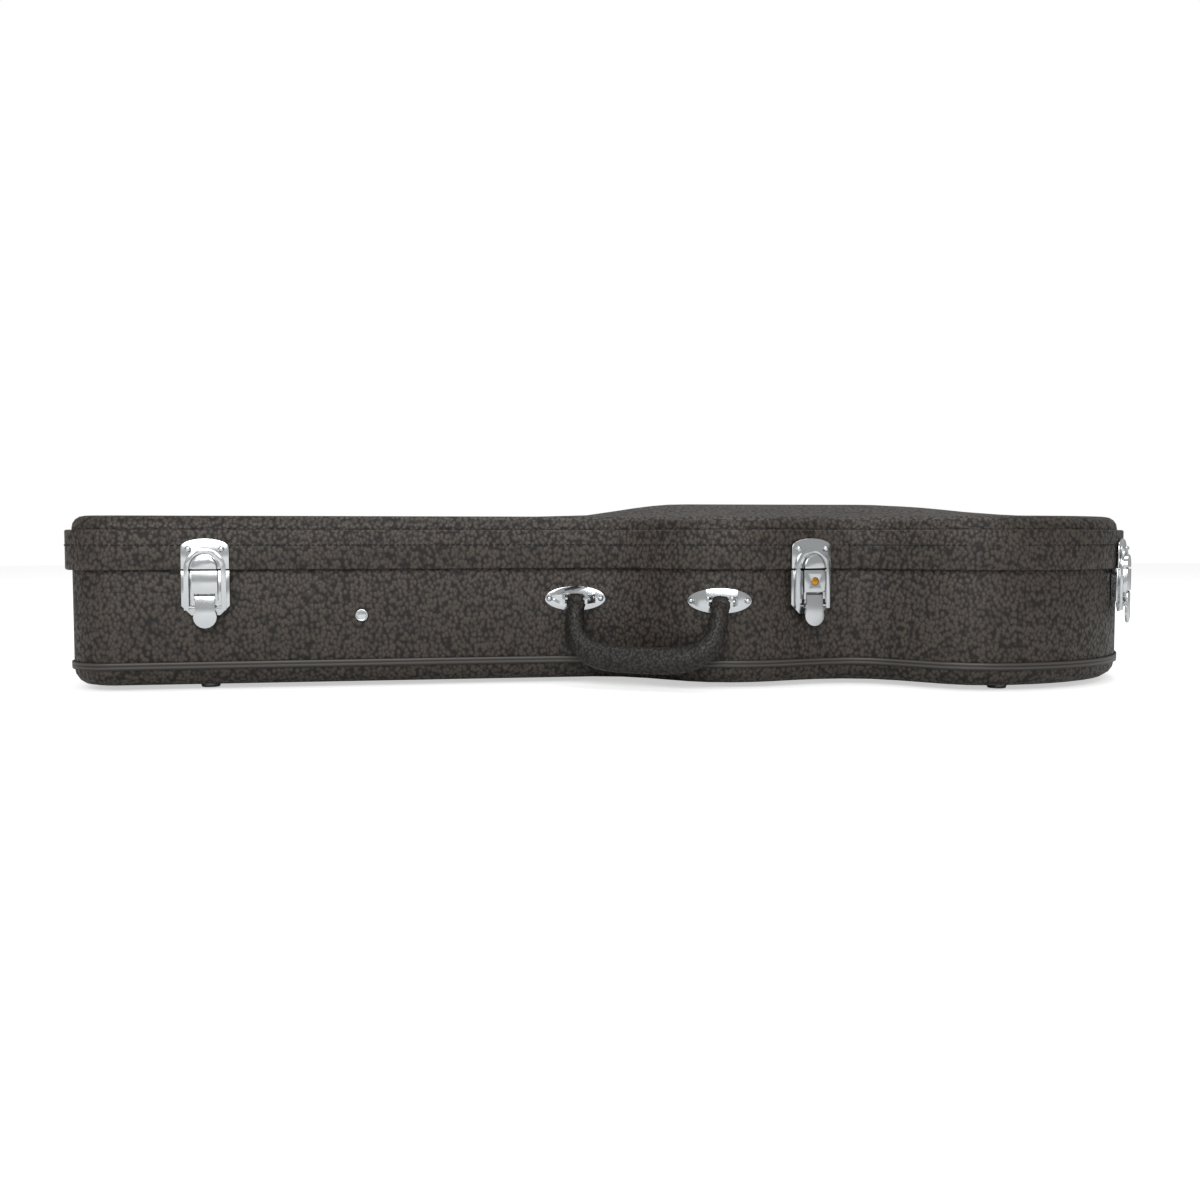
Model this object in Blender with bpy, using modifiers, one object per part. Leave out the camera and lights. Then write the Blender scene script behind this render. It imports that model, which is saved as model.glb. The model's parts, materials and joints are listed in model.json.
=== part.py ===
"""Baritone ukulele case: a shaped hard case with a hinged, domed lid.

Metres, +Z up. X runs along the case from the headstock end (-X) to the tail (+X), and the latches
and the handle are on the front (-Y). The case lies on its four feet, closed.
"""

import bpy
import bmesh
from math import atan2, cos, pi, radians, sin
from mathutils import Matrix, Vector
from mathutils.geometry import interpolate_bezier

# Plan outline of the outer wall: stations along the length and half widths there
CASE_LENGTH = 0.836
HEAD_HALF = 0.090
NECK_HALF = 0.064
UPPER_HALF = 0.114
WAIST_HALF = 0.097
LOWER_HALF = 0.150
HEAD_CORNER = 0.035
NECK_AT = 0.395
UPPER_AT = 0.500
WAIST_AT = 0.590
LOWER_AT = 0.686
CURVE_STEPS = 7

# Heights above the surface that the case lies on
FOOT_HEIGHT = 0.004
BOTTOM_ROLL = 0.013
PARTING_Z = 0.100
VALANCE_BOTTOM_Z = 0.0905
VALANCE_TOP_Z = 0.1205
RIM_TOP_Z = 0.131
TOP_ROLL = 0.009
PANEL_LIP = 0.002
DOME_RISE = 0.0115

# Walls, linings and trim
WALL = 0.006
PANEL = 0.005
GAP = 0.0003
VALANCE_PROUD = 0.005
VALANCE_THICK = 0.0042
BINDING_Z = 0.0162
BINDING_HEIGHT = 0.0058
BINDING_PROUD = 0.0012
BINDING_DEPTH = 0.0014
PAD = 0.012
LID_PAD = 0.010
FOOT_RADIUS = 0.0078
FOOT_STATIONS = (0.100, 0.700)
FOOT_INSET = 0.028

# Accessory compartment and neck cradle
BOX_FROM = 0.176
BOX_TO = 0.256
BOX_WALL = 0.004
BOX_TOP_Z = 0.064
BOX_LID = 0.003
CRADLE_FROM = 0.320
CRADLE_LENGTH = 0.030
CRADLE_TOP_Z = 0.088
NOTCH_WIDTH = 0.060
NOTCH_DEPTH = 0.022
RIVET_AT = 0.217
RIVET_Z = 0.0555
RIVET_RADIUS = 0.0050
RIVET_PROUD = 0.0016

# Draw latches, in a frame on the wall: x along it, n outward, z up
LATCH_STATIONS = {"head": 0.104, "waist": 0.556, "tail": 0.806}
LATCH_HALF = 0.0172
PLATE = 0.0012
CATCH_TOP_Z = 0.114
CATCH_SHOULDER_Z = 0.1075
BOSS_RADIUS = 0.0087
COVER_HALF = 0.0092
COVER_BOTTOM_Z = 0.0733
LATCH_BOTTOM_Z = 0.057
LATCH_RISE = 0.0062
LATCH_CHAMFER = 0.007
PIVOT_Z = 0.070
PIVOT_RISE = 0.0036
PIN_RADIUS = 0.0011
PIN_FIT = 0.0003
LEVER_HALF = 0.0070
LEVER_TIP_Z = 0.0500
LEVER_THICK = 0.0016
LEVER_EAR = 0.0015
LINK_Z = 0.063
LINK_RISE = 0.0027
BAIL_HALF = 0.0150
BAIL_BAND = 0.0034
BAIL_THICK = 0.0018
BAIL_TOP_Z = 0.1065
CATCH_RIVET_RADIUS = 0.0025
CATCH_RIVET_PROUD = 0.0014
CATCH_RIVET_X = 0.0118
CATCH_RIVET_Z = 0.106
LOCK_RADIUS = 0.0029
LOCK_Z = 0.0815
LOCK_DEPTH = 0.004

# Hinges along one straight axis at the back
HINGE_STATIONS = {"head": 0.075, "upper": 0.505, "lower": 0.640}
HINGE_Z = 0.0876
HINGE_KNUCKLE = 0.0026
HINGE_PIN = 0.0012
HINGE_LENGTH = 0.030
HINGE_LEAF = 0.0012
BASE_LEAF_DEPTH = 0.020
LID_LEAF_DEPTH = 0.018
KNUCKLE_GAP = 0.0004

# Handle, its axis a straight line through both brackets
HANDLE_STATIONS = {"left": 0.381, "right": 0.487}
HANDLE_Z = 0.067
HANDLE_STAND = 0.0115
BRACKET_HALF = 0.0235
BRACKET_TALL = 0.019
BRACKET_PLATE = 0.0014
LUG_OFFSET = 0.0092
LUG_THICK = 0.0022
LUG_HEIGHT = 0.0070
AXLE_RADIUS = 0.0016
GRIP_DROP = 0.043
GRIP_RADIUS = 0.0115
STRAP_RADIUS = 0.0075
GRIP_LEAN = radians(16)
BRACKET_RIVET_RADIUS = 0.0025
BRACKET_RIVET_INSET = 0.0032


def srgb(code):
    """Linear colour of a hex code."""
    channels = [int(code[i:i + 2], 16) / 255 for i in (0, 2, 4)]
    linear = [c / 12.92 if c <= 0.04045 else ((c + 0.055) / 1.055) ** 2.4 for c in channels]
    return (*linear, 1.0)


FINISHES = {
    "leatherette": ("3b3733", 0.55, 0.0),
    "binding": ("35312d", 0.45, 0.0),
    "chrome": ("d8dadb", 0.16, 1.0),
    "brass": ("c8923c", 0.25, 1.0),
    "plush": ("2c2b2f", 0.95, 0.0),
    "wood": ("8c6a48", 0.70, 0.0),
}


def make_materials():
    """One Principled material for each finish."""
    made = {}
    for name, (code, roughness, metallic) in FINISHES.items():
        material = bpy.data.materials.new(name)
        material.use_nodes = True
        shader = material.node_tree.nodes["Principled BSDF"]
        shader.inputs["Base Color"].default_value = srgb(code)
        shader.inputs["Roughness"].default_value = roughness
        shader.inputs["Metallic"].default_value = metallic
        made[name] = material
    return made


for old in list(bpy.data.objects):
    bpy.data.objects.remove(old, do_unlink=True)
PARTS = bpy.data.collections.new("baritone_ukulele_case")
CUTTERS = bpy.data.collections.new("cutters")
bpy.context.scene.collection.children.link(PARTS)
bpy.context.scene.collection.children.link(CUTTERS)
MATERIALS = make_materials()


def add(name, data, finish=None, frame=None):
    """Link an object at a frame; without a finish it is a cutter or a joined shape."""
    thing = bpy.data.objects.new(name, data)
    if finish:
        data.materials.append(MATERIALS[finish])
        PARTS.objects.link(thing)
    else:
        CUTTERS.objects.link(thing)
        thing.hide_render = True
        thing.display_type = "WIRE"
    thing.matrix_world = frame or Matrix()
    return thing


def combine(thing, tool, operation, solver="EXACT"):
    """Boolean one object with another."""
    step = thing.modifiers.new(operation.lower(), "BOOLEAN")
    step.operation = operation
    step.object = tool
    step.solver = solver


def box(name, low, high, finish=None, frame=None):
    """A box between two corners, in its frame."""
    mesh = bpy.data.meshes.new(name)
    shape = bmesh.new()
    bmesh.ops.create_cube(shape, size=1)
    size = Vector(high) - Vector(low)
    bmesh.ops.scale(shape, vec=size, verts=shape.verts)
    bmesh.ops.translate(shape, vec=(Vector(high) + Vector(low)) / 2, verts=shape.verts)
    shape.to_mesh(mesh)
    shape.free()
    return add(name, mesh, finish, frame)


def rod(name, start, end, radius, finish=None, frame=None, end_radius=None, sides=16):
    """A cylinder or cone between two points, in its frame."""
    mesh = bpy.data.meshes.new(name)
    shape = bmesh.new()
    run = Vector(end) - Vector(start)
    turn = run.to_track_quat("Z", "Y").to_matrix().to_4x4()
    bmesh.ops.create_cone(
        shape, cap_ends=True, segments=sides, radius1=radius,
        radius2=radius if end_radius is None else end_radius, depth=run.length,
        matrix=Matrix.Translation((Vector(start) + Vector(end)) / 2) @ turn)
    shape.to_mesh(mesh)
    shape.free()
    mesh.shade_smooth()
    mesh.set_sharp_from_angle(angle=radians(40))
    return add(name, mesh, finish, frame)


def prism(name, loops, low, high, finish=None, frame=None):
    """Closed flat outlines filled and extruded from one height to another."""
    curve = bpy.data.curves.new(name, "CURVE")
    curve.dimensions = "2D"
    curve.fill_mode = "BOTH"
    curve.extrude = (high - low) / 2
    for loop in loops:
        spline = curve.splines.new("POLY")
        spline.points.add(len(loop) - 1)
        for point, (x, y) in zip(spline.points, loop):
            point.co = (x, y, 0, 1)
        spline.use_cyclic_u = True
    source = bpy.data.objects.new(name + "_outline", curve)
    CUTTERS.objects.link(source)
    mesh = bpy.data.meshes.new_from_object(source.evaluated_get(bpy.context.evaluated_depsgraph_get()))
    bpy.data.objects.remove(source)
    shape = bmesh.new()
    shape.from_mesh(mesh)
    bmesh.ops.remove_doubles(shape, verts=shape.verts, dist=0.00001)
    bmesh.ops.translate(shape, vec=(0, 0, (low + high) / 2), verts=shape.verts)
    bmesh.ops.recalc_face_normals(shape, faces=shape.faces)
    shape.to_mesh(mesh)
    shape.free()
    mesh.materials.clear()
    return add(name, mesh, finish, frame)


def half_outline():
    """The front half of the plan outline, from the headstock end to the tail, as (x, half width)."""
    corner = HEAD_CORNER * 0.5523
    head = HEAD_CORNER
    taper = (NECK_HALF - HEAD_HALF) / (NECK_AT - head)
    reach = (NECK_AT - head) / 3
    bout = UPPER_AT - NECK_AT
    waist = WAIST_AT - UPPER_AT
    hip = LOWER_AT - WAIST_AT
    tail = CASE_LENGTH - LOWER_AT
    runs = [
        ((0, HEAD_HALF - head), (0, HEAD_HALF - head + corner), (head - corner, HEAD_HALF), (head, HEAD_HALF)),
        ((head, HEAD_HALF), (head + reach, HEAD_HALF + taper * reach), (NECK_AT - reach, NECK_HALF),
         (NECK_AT, NECK_HALF)),
        ((NECK_AT, NECK_HALF), (NECK_AT + 0.43 * bout, NECK_HALF), (UPPER_AT - 0.50 * bout, UPPER_HALF),
         (UPPER_AT, UPPER_HALF)),
        ((UPPER_AT, UPPER_HALF), (UPPER_AT + 0.45 * waist, UPPER_HALF), (WAIST_AT - 0.45 * waist, WAIST_HALF),
         (WAIST_AT, WAIST_HALF)),
        ((WAIST_AT, WAIST_HALF), (WAIST_AT + 0.40 * hip, WAIST_HALF), (LOWER_AT - 0.45 * hip, LOWER_HALF),
         (LOWER_AT, LOWER_HALF)),
        ((LOWER_AT, LOWER_HALF), (LOWER_AT + 0.60 * tail, LOWER_HALF), (CASE_LENGTH, 0.60 * LOWER_HALF),
         (CASE_LENGTH, 0)),
    ]
    points = []
    for run in runs:
        knots = [Vector((x, y, 0)) for x, y in run]
        steps = CURVE_STEPS * 2 if run is runs[-1] else CURVE_STEPS
        points += interpolate_bezier(*knots, steps)[:-1]
    return [(p.x - CASE_LENGTH / 2, p.y) for p in points]


HALF = half_outline()
PLAN = [(x, -w) for x, w in HALF] + [(x, w) for x, w in reversed(HALF)]


def outline(offset):
    """The whole plan outline, anticlockwise, moved outward by an offset."""
    moved = []
    for i, (x, y) in enumerate(PLAN):
        before = PLAN[i - 1]
        after = PLAN[(i + 1) % len(PLAN)]
        first = Vector((x - before[0], y - before[1])).normalized()
        second = Vector((after[0] - x, after[1] - y)).normalized()
        along = (first + second).normalized()
        outward = Vector((along.y, -along.x)) * (offset / max(along.dot(first), 0.5))
        moved.append((x + outward.x, y + outward.y))
    return moved


def ring(name, outer, inner, low, high, finish):
    """A wall that follows the outline between two offsets."""
    return prism(name, [outline(outer), outline(inner)], low, high, finish)


def half_width(x):
    """Half width of the outer wall at a place along the length."""
    for (x0, w0), (x1, w1) in zip(HALF, HALF[1:]):
        if x0 <= x <= x1:
            return w0 + (w1 - w0) * (x - x0) / (x1 - x0)
    return HALF[-1][1]


def wall_frame(station, side=-1):
    """Frame on the wall: X along it, Y square to it and toward the inside on the front, Z up."""
    x = station - CASE_LENGTH / 2
    step = 0.004
    rise = (half_width(x + step) - half_width(x - step)) * side
    turn = atan2(rise, 2 * step)
    return Matrix.Translation((x, side * half_width(x), 0)) @ Matrix.Rotation(turn, 4, "Z")


def reach(frame, half, offset):
    """How far the offset outline stands out of a front frame, over a half width."""
    local = frame.inverted()
    spots = []
    loop = outline(offset)
    for a, b in zip(loop, loop[1:] + loop[:1]):
        for share in (n / 24 for n in range(24)):
            spot = local @ Vector((a[0] + (b[0] - a[0]) * share, a[1] + (b[1] - a[1]) * share, 0))
            if abs(spot.x) <= half and abs(spot.y) < 0.03:
                spots.append(-spot.y)
    return max(spots)


def hit(start, direction, offset):
    """Distance from a point along a direction to the offset outline."""
    loop = outline(offset)
    found = []
    for a, b in zip(loop, loop[1:] + loop[:1]):
        edge = Vector((b[0] - a[0], b[1] - a[1]))
        gap = Vector((a[0] - start.x, a[1] - start.y))
        cross = direction.x * edge.y - direction.y * edge.x
        if abs(cross) < 1e-12:
            continue
        along = (gap.x * edge.y - gap.y * edge.x) / cross
        share = (gap.x * direction.y - gap.y * direction.x) / cross
        if 0 <= share <= 1 and along > 0:
            found.append(along)
    return min(found)


def dome(x, y, half):
    """Height of the lid's dome over its flat margin."""
    station = x + CASE_LENGTH / 2

    def ease(value):
        value = min(max(value, 0), 1)
        return value * value * (3 - 2 * value)

    rise = ease((station - NECK_AT + 0.030) / 0.110)
    fall = 1 - ease((station - WAIST_AT - 0.040) / 0.150)
    return DOME_RISE * rise * fall * (1 - (y / half) ** 2) ** 2


def panel(name, roll, edge_z, flat_z, thick, domed, finish):
    """A panel with a rolled edge: it starts at the wall, turns over a radius and closes flat or domed."""
    mesh = bpy.data.meshes.new(name)
    shape = bmesh.new()
    steps = 4
    up = 1 if flat_z > edge_z else -1
    loops = [[shape.verts.new((x, y, edge_z)) for x, y in outline(0)]]
    for i in range(steps + 1):
        angle = pi / 2 * i / steps
        inset = roll * (1 - cos(angle))
        height = edge_z + up * (PANEL_LIP + roll * sin(angle))
        loops.append([shape.verts.new((x, y, height)) for x, y in outline(-inset)])
    for lower, upper in zip(loops, loops[1:]):
        for i in range(len(lower)):
            j = (i + 1) % len(lower)
            shape.faces.new((lower[i], lower[j], upper[j], upper[i]))
    last = loops[-1]
    if domed:
        across = 8
        count = len(last) // 2
        rows = [[last[0], last[-1]]]
        for k in range(1, count - 1):
            front = last[k]
            back = last[-1 - k]
            row = [front]
            for j in range(1, across):
                y = front.co.y + (back.co.y - front.co.y) * j / across
                z = flat_z + dome(front.co.x, y, back.co.y)
                row.append(shape.verts.new((front.co.x, y, z)))
            rows.append(row + [back])
        rows.append([last[count - 1], last[count]])
        for row, after in zip(rows, rows[1:]):
            if len(row) == len(after):
                for j in range(across):
                    shape.faces.new((row[j], after[j], after[j + 1], row[j + 1]))
            else:
                shape.faces.new(list(row[:1]) + list(after) + list(reversed(row[1:])))
    else:
        shape.faces.new(last)
    if up < 0:
        bmesh.ops.reverse_faces(shape, faces=shape.faces)
    shape.to_mesh(mesh)
    shape.free()
    mesh.shade_smooth()
    mesh.set_sharp_from_angle(angle=radians(40))
    thing = add(name, mesh, finish)
    skin = thing.modifiers.new("thickness", "SOLIDIFY")
    skin.thickness = thick
    skin.offset = -1
    skin.use_even_offset = True
    return thing


def upright(name, points, rise_from, rise_to, finish=None, frame=None):
    """A plate drawn in x and z and standing out of the wall frame between two rises."""
    stand = Matrix.Rotation(pi / 2, 4, "X")
    return prism(name, [points], rise_from, rise_to, finish, (frame or Matrix()) @ stand)


def arc(x, z, radius, start, end, steps):
    """Points on an arc, angles in degrees."""
    angles = [radians(start + (end - start) * i / steps) for i in range(steps + 1)]
    return [(x + radius * cos(a), z + radius * sin(a)) for a in angles]


def make_base():
    """Base shell with its trim, lining and feet."""
    bottom_edge = FOOT_HEIGHT + BOTTOM_ROLL + PANEL_LIP
    panel("base_bottom_panel", BOTTOM_ROLL, bottom_edge - GAP, FOOT_HEIGHT - GAP, WALL, False, "leatherette")
    ring("base_side_wall", 0, -WALL, bottom_edge, PARTING_Z - GAP / 2, "leatherette")
    binding_in = GAP
    ring("base_binding", binding_in + BINDING_DEPTH, binding_in, BINDING_Z, BINDING_Z + BINDING_HEIGHT, "binding")
    floor = FOOT_HEIGHT + WALL
    pad = prism("base_floor_pad", [outline(-BOTTOM_ROLL - GAP)], floor, floor + PAD, "plush")
    pad.data.shade_flat()
    ring("base_side_pad", -WALL - GAP, -WALL - PAD, floor + PAD + GAP, PARTING_Z - 0.004, "plush")
    for end, station in zip(("head", "tail"), FOOT_STATIONS):
        x = station - CASE_LENGTH / 2
        for side, sign in (("front", -1), ("back", 1)):
            y = sign * (half_width(x) - FOOT_INSET)
            rod(f"foot_{end}_{side}", (x, y, 0), (x, y, FOOT_HEIGHT - 2 * GAP), FOOT_RADIUS * 0.86, "chrome",
                end_radius=FOOT_RADIUS)


def make_lid():
    """Lid shell with its valance and lining."""
    low = PARTING_Z + GAP / 2
    edge = RIM_TOP_Z - TOP_ROLL - PANEL_LIP
    ring("lid_side_wall", 0, -PANEL, low, edge - GAP, "leatherette")
    panel("lid_top_panel", TOP_ROLL, edge, RIM_TOP_Z, PANEL, True, "leatherette")
    ring("lid_valance", VALANCE_PROUD, VALANCE_PROUD - VALANCE_THICK, VALANCE_BOTTOM_Z, VALANCE_TOP_Z, "leatherette")
    under = RIM_TOP_Z - PANEL - GAP
    prism("lid_pad", [outline(-TOP_ROLL - GAP)], under - LID_PAD, under, "plush")


def make_compartment():
    """Accessory box with a hinged cover, its rivet, and the neck cradle."""
    floor = FOOT_HEIGHT + WALL + PAD + GAP
    x0 = BOX_FROM - CASE_LENGTH / 2
    x1 = BOX_TO - CASE_LENGTH / 2
    half = half_width(x1) - WALL - PAD - 2 * GAP
    body = box("accessory_box", (x0, -half, floor), (x1, half, BOX_TOP_Z), "plush")
    hollow = box("accessory_hollow", (x0 + BOX_WALL, -half + BOX_WALL, floor - 0.001),
                 (x1 - BOX_WALL, half - BOX_WALL, BOX_TOP_Z + 0.001))
    combine(body, hollow, "DIFFERENCE")
    hinge = bpy.data.objects.new("accessory_lid_hinge", None)
    PARTS.objects.link(hinge)
    hinge.location = (x1, 0, BOX_TOP_Z + BOX_LID / 2)
    frame = Matrix.Translation(hinge.location)
    span = BOX_TO - BOX_FROM
    cover = box("accessory_lid", (-span, -half, GAP - BOX_LID / 2), (0, half, BOX_LID / 2 + GAP), "plush", frame)
    tab = box("accessory_tab", (-span - 0.010, -0.008, GAP - BOX_LID / 2), (-span + 0.004, 0.008, BOX_LID / 2 + GAP),
              None, frame)
    combine(cover, tab, "UNION")
    c0 = CRADLE_FROM - CASE_LENGTH / 2
    c1 = c0 + CRADLE_LENGTH
    c_half = half_width(c1) - WALL - PAD - 2 * GAP
    points = [(-c_half, floor), (c_half, floor), (c_half, CRADLE_TOP_Z), (NOTCH_WIDTH / 2, CRADLE_TOP_Z),
              (NOTCH_WIDTH / 2 - 0.006, CRADLE_TOP_Z - NOTCH_DEPTH),
              (-NOTCH_WIDTH / 2 + 0.006, CRADLE_TOP_Z - NOTCH_DEPTH), (-NOTCH_WIDTH / 2, CRADLE_TOP_Z),
              (-c_half, CRADLE_TOP_Z)]
    turn = Matrix(((0, 0, 1, 0), (1, 0, 0, 0), (0, 1, 0, 0), (0, 0, 0, 1)))
    prism("neck_cradle", [points], c0, c1, "plush", turn)
    frame = wall_frame(RIVET_AT)
    rise = reach(frame, RIVET_RADIUS, 0) + GAP
    rod("compartment_rivet", (0, -rise, RIVET_Z), (0, -rise - RIVET_PROUD, RIVET_Z), RIVET_RADIUS, "chrome", frame,
        end_radius=RIVET_RADIUS * 0.86, sides=20)


def make_latch(place, station):
    """A draw latch: catch plate on the lid; base plate, lever, bail and pivot pin on the base."""
    frame = wall_frame(station)
    face = reach(frame, LATCH_HALF, VALANCE_PROUD) + GAP
    wall = reach(frame, LATCH_HALF, 0) + GAP
    front = face + LATCH_RISE
    pivot = face + PIVOT_RISE
    link = face + LINK_RISE
    side = LATCH_HALF
    bottom = VALANCE_BOTTOM_Z + 0.0007
    crown = [(side * cos(a), CATCH_SHOULDER_Z + (CATCH_TOP_Z - CATCH_SHOULDER_Z) * sin(a))
             for a in [pi * i / 10 for i in range(11)]]
    catch = upright(f"{place}_catch_plate", [(-side, bottom), (side, bottom)] + crown, face, face + PLATE,
                    "chrome", frame)
    boss = upright(f"{place}_boss", [(-BOSS_RADIUS, bottom)] + arc(0, bottom + 0.0015, BOSS_RADIUS, 0, 180, 10)[:0]
                   + [(BOSS_RADIUS, bottom)] + arc(0, bottom + 0.0015, BOSS_RADIUS, 0, 180, 10),
                   face + PLATE / 2, front, None, frame)
    combine(catch, boss, "UNION")
    for hand, sign in (("left", -1), ("right", 1)):
        x = sign * CATCH_RIVET_X
        start = face + PLATE + GAP
        rod(f"{place}_catch_rivet_{hand}", (x, -start, CATCH_RIVET_Z), (x, -start - CATCH_RIVET_PROUD, CATCH_RIVET_Z),
            CATCH_RIVET_RADIUS, "chrome", frame, end_radius=CATCH_RIVET_RADIUS * 0.6, sides=14)
    top = VALANCE_BOTTOM_Z - 0.0005
    low = LATCH_BOTTOM_Z
    plate_back = face - 0.0007
    plate_front = face + 0.0005
    plate = upright(f"{place}_latch_base",
                    [(-side + LATCH_CHAMFER, low), (side - LATCH_CHAMFER, low), (side, low + LATCH_CHAMFER),
                     (side, top), (-side, top), (-side, low + LATCH_CHAMFER)], plate_back, plate_front, "chrome", frame)
    spacer = box(f"{place}_spacer", (-0.012, -plate_back - 0.0004, low + 0.008), (0.012, -wall, top - 0.003), None,
                 frame)
    cover = box(f"{place}_cover", (-COVER_HALF, -front, COVER_BOTTOM_Z), (COVER_HALF, -plate_back - 0.0004, top), None,
                frame)
    combine(plate, spacer, "UNION")
    combine(plate, cover, "UNION")
    for sign in (-1, 1):
        inner = LEVER_HALF + 0.0004
        xs = sorted((sign * inner, sign * COVER_HALF))
        lug = box(f"{place}_lug", (xs[0], -pivot - 0.0019, PIVOT_Z - 0.0019),
                  (xs[1], -plate_back - 0.0004, COVER_BOTTOM_Z + 0.0005), None, frame)
        combine(plate, lug, "UNION")
    bore = rod(f"{place}_pivot_bore", (-0.012, -pivot, PIVOT_Z), (0.012, -pivot, PIVOT_Z), PIN_RADIUS + PIN_FIT,
               None, frame)
    combine(plate, bore, "DIFFERENCE")
    rod(f"{place}_pivot_pin", (-COVER_HALF, -pivot, PIVOT_Z), (COVER_HALF, -pivot, PIVOT_Z), PIN_RADIUS, "chrome",
        frame, sides=12)
    lever_frame = frame @ Matrix.Translation((0, -pivot, PIVOT_Z))
    lever_axis = bpy.data.objects.new(f"{place}_lever_axis", None)
    PARTS.objects.link(lever_axis)
    lever_axis.matrix_world = lever_frame
    tip = LEVER_TIP_Z - PIVOT_Z
    tongue_front = front - pivot
    tongue_back = tongue_front - LEVER_THICK
    flare = LEVER_HALF * 1.2
    shape = [(LEVER_HALF, 0.0012), (-LEVER_HALF, 0.0012), (-LEVER_HALF, tip + 0.011), (-flare, tip + 0.006)]
    shape += [(x, z) for x, z in arc(0, tip + 0.006, flare, 180, 360, 8)[1:-1]]
    shape += [(flare, tip + 0.006), (LEVER_HALF, tip + 0.011)]
    lever = upright(f"{place}_lever", shape, tongue_back, tongue_front, "chrome", lever_frame)
    for sign in (-1, 1):
        xs = sorted((sign * (LEVER_HALF - LEVER_EAR), sign * LEVER_HALF))
        ear = box(f"{place}_ear", (xs[0], -tongue_back - 0.0004, LINK_Z - PIVOT_Z - 0.0018), (xs[1], 0.0016, 0.0013),
                  None, lever_frame)
        combine(lever, ear, "UNION")
    combine(lever, bore, "DIFFERENCE")
    link_bore = rod(f"{place}_link_bore", (-0.012, -link, LINK_Z), (0.012, -link, LINK_Z), PIN_RADIUS + PIN_FIT,
                    None, frame)
    combine(lever, link_bore, "DIFFERENCE")
    link_frame = frame @ Matrix.Translation((0, -link, LINK_Z))
    bail_axis = bpy.data.objects.new(f"{place}_bail_axis", None)
    PARTS.objects.link(bail_axis)
    bail_axis.matrix_world = link_frame
    centre = BAIL_TOP_Z - BAIL_HALF - LINK_Z
    inner_half = BAIL_HALF - BAIL_BAND
    foot = -PIN_RADIUS - 0.0010
    loop = [(BAIL_HALF, foot)] + arc(0, centre, BAIL_HALF, 0, 180, 14) + [(-BAIL_HALF, foot), (-inner_half, foot)]
    loop += arc(0, centre, inner_half, 180, 0, 14) + [(inner_half, foot)]
    bail = upright(f"{place}_bail", loop, -BAIL_THICK / 2, BAIL_THICK / 2, "chrome", link_frame)
    for sign in (-1, 1):
        stub = rod(f"{place}_stub", (sign * (inner_half + 0.001), 0, 0), (sign * (LEVER_HALF - LEVER_EAR - 0.0004), 0, 0),
                   PIN_RADIUS * 0.8, None, link_frame, sides=12)
        combine(bail, stub, "UNION")
    if place == "waist":
        bore = rod("lock_bore", (0, -front - 0.001, LOCK_Z), (0, -front + LOCK_DEPTH, LOCK_Z), LOCK_RADIUS + GAP, None,
                   frame, sides=24)
        combine(plate, bore, "DIFFERENCE")
        rod("lock_cylinder", (0, -front + LOCK_DEPTH - GAP, LOCK_Z), (0, -front - 0.0003, LOCK_Z), LOCK_RADIUS, "brass",
            frame, sides=24)
    return frame, pivot, link, front


def hinge_line():
    """Frame of the hinge axis: it touches the headstock side and the lower bout, clear of the valance."""
    stand = VALANCE_PROUD + HINGE_KNUCKLE + 2 * GAP
    slope = 0.0
    points = [p for p in outline(stand) if p[1] > 0]
    heads = [p for p in points if p[0] < NECK_AT - CASE_LENGTH / 2]
    tails = [p for p in points if p[0] > WAIST_AT - CASE_LENGTH / 2]
    for _ in range(8):
        first = max(heads, key=lambda p: p[1] - slope * p[0])
        second = max(tails, key=lambda p: p[1] - slope * p[0])
        slope = (second[1] - first[1]) / (second[0] - first[0])
    origin = Vector((0, first[1] - slope * first[0], HINGE_Z))
    return Matrix.Translation(origin) @ Matrix.Rotation(atan2(slope, 1), 4, "Z")


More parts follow.
